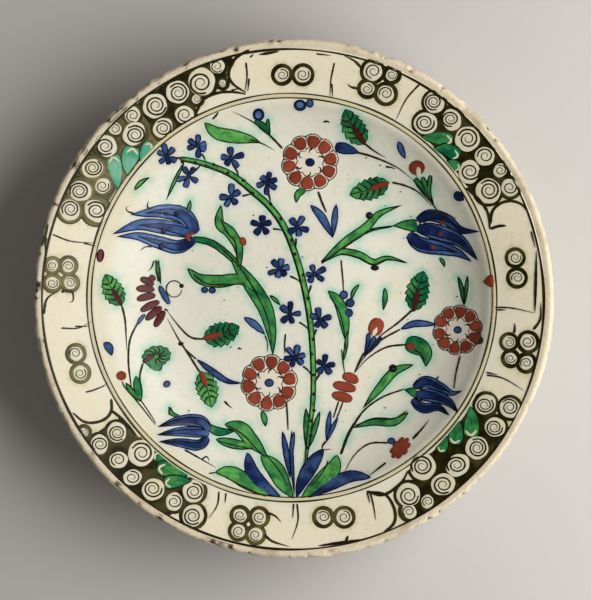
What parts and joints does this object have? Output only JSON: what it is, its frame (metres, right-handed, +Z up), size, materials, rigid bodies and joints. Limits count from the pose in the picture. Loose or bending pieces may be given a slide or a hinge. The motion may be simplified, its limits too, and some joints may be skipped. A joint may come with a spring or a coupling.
{
  "type": "painted ceramic dish",
  "caption": "Round footed ceramic dish with a shallow well and a sloping flat rim; its white glazed face is painted with raised flowers, leaves, rocks and scrolls.",
  "frame": {"origin": "middle of the flat face that the foot ring stands on", "axes": "+Z up out of the well, +Y towards the top of the painting, +X to its right"},
  "size_m": [0.3, 0.3, 0.0527],
  "materials": {
    "fritware": "bare sandy fired body, worn brown at the lip and the foot",
    "slip_glaze": "warm ivory slip under a clear glossy glaze with pinholes and fine crazing",
    "olive_black": "olive-black brush line, thinning to olive, under glossy glaze",
    "cobalt_blue": "cobalt blue, washed paler inside its outline, under glossy glaze",
    "copper_green": "copper green with a soft turquoise bleed at its edge, under glossy glaze",
    "bole_red": "thick raised red slip under glossy glaze",
    "plum_red": "dark plum-red slip under glossy glaze"
  },
  "bodies": {
    "root": {"fritware_body": "fritware", "foot_ring": "fritware", "face_coat": "slip_glaze", "back_coat": "slip_glaze", "foot_recess_coat": "slip_glaze", "ring_line_inner": "olive_black", "ring_line_outer": "olive_black", "rim_line": "olive_black", "rock_upper_left": "olive_black", "rock_upper_right": "olive_black", "rock_lower_left": "olive_black", "rock_lower_right": "olive_black", "scroll_pair_top": "olive_black", "scroll_quad_top": "olive_black", "scroll_pair_right": "olive_black", "scroll_quad_right": "olive_black", "scroll_pair_bottom": "olive_black", "scroll_quad_bottom": "olive_black", "scroll_pair_left": "olive_black", "scroll_quad_left": "olive_black", "hyacinth": "cobalt_blue", "tulip_left": "cobalt_blue", "tulip_right": "cobalt_blue", "tulip_lower_left": "cobalt_blue", "tulip_lower_right": "cobalt_blue", "bud_top": "cobalt_blue", "spray_upper_right": "cobalt_blue", "cut_leaf_right": "cobalt_blue", "cut_floret_top": "cobalt_blue", "leaf_top": "copper_green", "leaf_upper_right": "copper_green", "leaf_right": "copper_green", "leaf_left": "copper_green", "leaf_curled": "copper_green", "leaf_middle_left": "copper_green", "leaf_lower_left": "copper_green", "leaf_small_right": "copper_green", "long_leaf_top": "copper_green", "sprig": "copper_green", "leaf_tuft": "copper_green", "rosette_top": "bole_red", "rosette_centre": "bole_red", "rosette_right": "bole_red", "bud_upper_right": "bole_red", "bud_middle": "bole_red", "bud_left": "bole_red", "bud_lower_right": "bole_red", "bud_triple": "bole_red", "cut_bud_right": "bole_red", "carnation": "plum_red", "cut_bud_left": "plum_red"}
  },
  "joints": []
}
